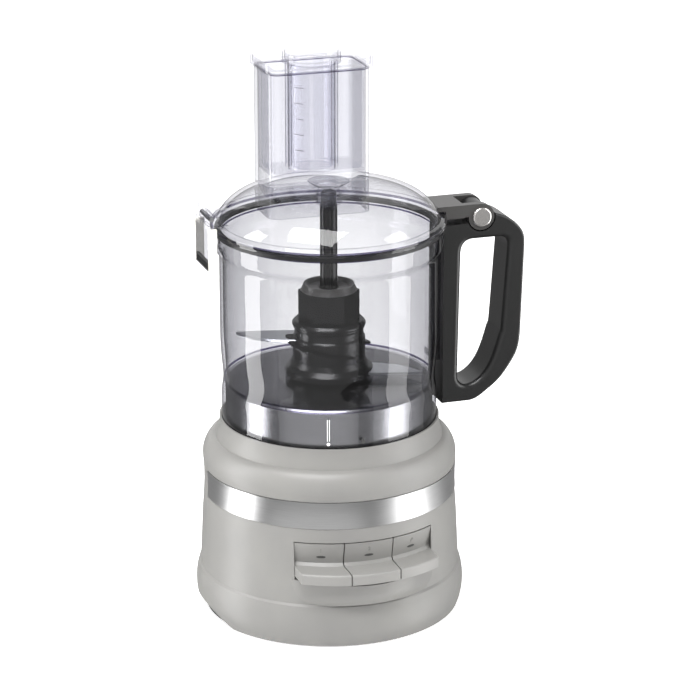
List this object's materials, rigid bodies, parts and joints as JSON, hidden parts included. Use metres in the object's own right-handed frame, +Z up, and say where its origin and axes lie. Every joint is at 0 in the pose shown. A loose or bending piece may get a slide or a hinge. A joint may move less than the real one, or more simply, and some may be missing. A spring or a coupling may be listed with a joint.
{
  "type": "food processor",
  "caption": "Round-base food processor with a clear lift-off bowl on a bright drum, hinged domed lid with tall feed tube, side latch, loop handle and lever paddles.",
  "frame": {"origin": "on the floor under the bowl's axis, in the plane of the anti-slip ring's underside", "axes": "+Z up along the bowl's axis, -Y towards the paddles, +X towards the handle and the lid hinge"},
  "size_m": [0.2337, 0.2004, 0.389],
  "materials": {
    "housing": "fine satin grain",
    "trim": "satin bright",
    "dark_plastic": "satin",
    "black_gloss": "gloss",
    "grey_plastic": "satin",
    "paddle_plastic": "satin",
    "rubber": "matte",
    "seal_rubber": "satin",
    "screw_steel": "zinc",
    "steel": "turned",
    "drum_metal": "bright brushed",
    "blade_steel": "polished",
    "cap_metal": "polished",
    "clear_plastic": "clear, gloss",
    "chassis": "cast",
    "iron": "laminated",
    "bearing": "ground",
    "board": "printed circuit board",
    "latch_plastic": "gloss"
  },
  "bodies": {
    "base": {"base_housing": "housing", "trim_band": "trim", "base_plate": "dark_plastic", "anti_slip_ring": "rubber", "base_screws": "screw_steel", "cord_gland": "dark_plastic", "chassis_plate": "chassis", "spindle_housing": "chassis", "spindle_bearings": "bearing", "shaft_seal": "seal_rubber", "bowl_seat_drum": "drum_metal", "drive_belt": "rubber", "motor_stator": "iron", "motor_brackets": "chassis", "motor_bearings": "bearing", "motor_screws": "screw_steel", "paddle_pivot_rod": "steel", "switch_carrier": "dark_plastic", "paddle_switches": "black_gloss", "spring_low": "steel", "spring_high": "steel", "spring_pulse": "steel", "control_board": "board", "interlock_switch": "black_gloss"},
    "motor": {"motor_armature": "iron", "motor_pulley": "steel", "cooling_fan": "dark_plastic"},
    "spindle": {"output_spindle": "steel", "driven_pulley": "dark_plastic"},
    "low_paddle": {"paddle_low": "paddle_plastic"},
    "high_paddle": {"paddle_high": "paddle_plastic"},
    "pulse_paddle": {"paddle_pulse": "paddle_plastic"},
    "bowl": {"bowl": "clear_plastic", "handle": "dark_plastic", "handle_screws": "screw_steel"},
    "adapter": {"drive_adapter": "black_gloss"},
    "blades": {"blade_hub": "black_gloss", "hub_cap": "grey_plastic", "lower_blade": "blade_steel", "upper_blade": "blade_steel"},
    "lid": {"lid": "clear_plastic", "lid_seal": "seal_rubber", "hinge_arm": "grey_plastic", "arm_screws": "screw_steel", "hinge_pin": "steel", "hinge_caps": "cap_metal", "latch_pin": "steel"},
    "latch": {"latch": "clear_plastic", "latch_cheeks": "latch_plastic", "latch_grip": "grey_plastic"},
    "large_pusher": {"large_pusher": "clear_plastic"},
    "small_pusher": {"small_pusher": "clear_plastic"}
  },
  "joints": [
    {"name": "motor_spin", "type": "hinge", "parent": "base", "child": "motor", "pos_m": [0, 0.046, 0.06], "axis": [0, 0, 1], "continuous": true},
    {"name": "spindle_spin", "type": "hinge", "parent": "base", "child": "spindle", "pos_m": [0, 0, 0.1], "axis": [0, 0, 1], "continuous": true},
    {"name": "bowl_lift", "type": "slide", "parent": "base", "child": "bowl", "axis": [0, 0, 1], "range_m": [0, 0.08]},
    {"name": "adapter_spin", "type": "hinge", "parent": "bowl", "child": "adapter", "pos_m": [0, 0, 0.19], "axis": [0, 0, 1], "continuous": true},
    {"name": "blade_lift", "type": "slide", "parent": "adapter", "child": "blades", "axis": [0, 0, 1], "range_m": [0, 0.034]},
    {"name": "lid_hinge", "type": "hinge", "parent": "bowl", "child": "lid", "pos_m": [0.1065, 0, 0.2753], "axis": [0, 1, 0], "range_deg": [0, 90]},
    {"name": "latch_pivot", "type": "hinge", "parent": "lid", "child": "latch", "pos_m": [-0.0865, 0, 0.2895], "axis": [0, 1, 0], "range_deg": [0, 60]},
    {"name": "large_pusher_slide", "type": "slide", "parent": "lid", "child": "large_pusher", "axis": [0, 0, 1], "range_m": [0, 0.08]},
    {"name": "small_pusher_slide", "type": "slide", "parent": "large_pusher", "child": "small_pusher", "axis": [0, 0, 1], "range_m": [0, 0.085]},
    {"name": "low_paddle_press", "type": "hinge", "parent": "base", "child": "low_paddle", "pos_m": [0, -0.062, 0.07], "axis": [1, 0, 0], "range_deg": [0, 2.2], "stiffness_Nm_per_rad": 1.5, "springref_deg": -1.15, "deforming": ["spring_low"]},
    {"name": "high_paddle_press", "type": "hinge", "parent": "base", "child": "high_paddle", "pos_m": [0, -0.062, 0.07], "axis": [1, 0, 0], "range_deg": [0, 2.2], "stiffness_Nm_per_rad": 1.5, "springref_deg": -1.15, "deforming": ["spring_high"]},
    {"name": "pulse_paddle_press", "type": "hinge", "parent": "base", "child": "pulse_paddle", "pos_m": [0, -0.062, 0.07], "axis": [1, 0, 0], "range_deg": [0, 2.2], "stiffness_Nm_per_rad": 1.5, "springref_deg": -1.15, "deforming": ["spring_pulse"]}
  ],
  "couplings": [
    {"joint": "spindle_spin", "follows": "motor_spin", "ratio": 0.26667},
    {"joint": "adapter_spin", "follows": "motor_spin", "ratio": 0.26667}
  ]
}
